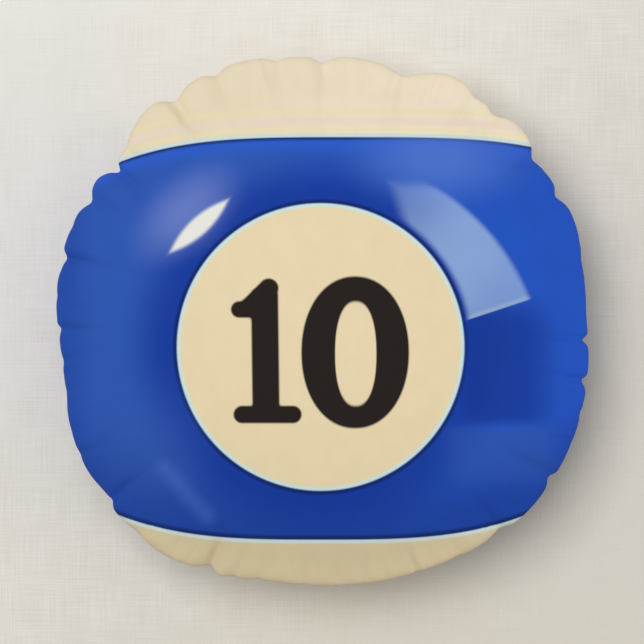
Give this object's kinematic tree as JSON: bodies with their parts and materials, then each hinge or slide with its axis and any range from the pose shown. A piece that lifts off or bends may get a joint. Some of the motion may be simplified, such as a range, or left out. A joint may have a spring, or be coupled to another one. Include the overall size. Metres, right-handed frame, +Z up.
{
  "type": "round throw pillow",
  "caption": "Round stuffed throw pillow with a scalloped knife-edge seam, a billiard-ball number print, a concealed curved zip in the cover, and a separate fibre-filled insert.",
  "frame": {"origin": "middle of the flattened patch that the pillow rests on", "axes": "+Z up and out of the printed front, +Y the print's up direction, -Y towards the zip"},
  "size_m": [0.3735, 0.3727, 0.126],
  "materials": {
    "cover_print": "brushed polyester, blue and cream ball print",
    "cover_back_print": "brushed polyester, blue and cream ball print",
    "cover_thread": "spun polyester thread",
    "zip_tape": "woven polyester tape",
    "zip_coil": "nylon coil",
    "zip_metal": "nickel-plated zip metal",
    "zip_thread": "spun polyester thread",
    "label": "blank satin ribbon",
    "lining": "white non-woven lining",
    "lining_thread": "spun polyester thread",
    "filling": "polyester fibre filling"
  },
  "bodies": {
    "pillow": {"cover_front": "cover_print", "cover_back": "cover_back_print", "cover_seam_thread": "cover_thread", "cover_overlock": "cover_thread", "zip_tape_front": "zip_tape", "zip_tape_back": "zip_tape", "zip_coil_front": "zip_coil", "zip_coil_back": "zip_coil", "zip_top_stop_front": "zip_metal", "zip_top_stop_back": "zip_metal", "zip_bottom_stop": "zip_metal", "zip_bar_tack_left": "zip_thread", "zip_bar_tack_right": "zip_thread", "care_label": "label", "insert_front": "lining", "insert_back": "lining", "insert_seam_thread": "lining_thread", "insert_closing_thread": "lining_thread", "insert_filling": "filling"},
    "slider": {"zip_slider": "zip_metal"},
    "pull": {"zip_pull": "zip_metal"}
  },
  "joints": [
    {"name": "slider_travel", "type": "hinge", "parent": "pillow", "child": "slider", "pos_m": [0, 0.0275, 0.058], "axis": [0, 0, 1], "range_deg": [-80, 0]},
    {"name": "pull_swing", "type": "hinge", "parent": "slider", "child": "pull", "pos_m": [0.13607, -0.13467, 0.058], "axis": [0, 0, 1], "range_deg": [0, 160]}
  ]
}
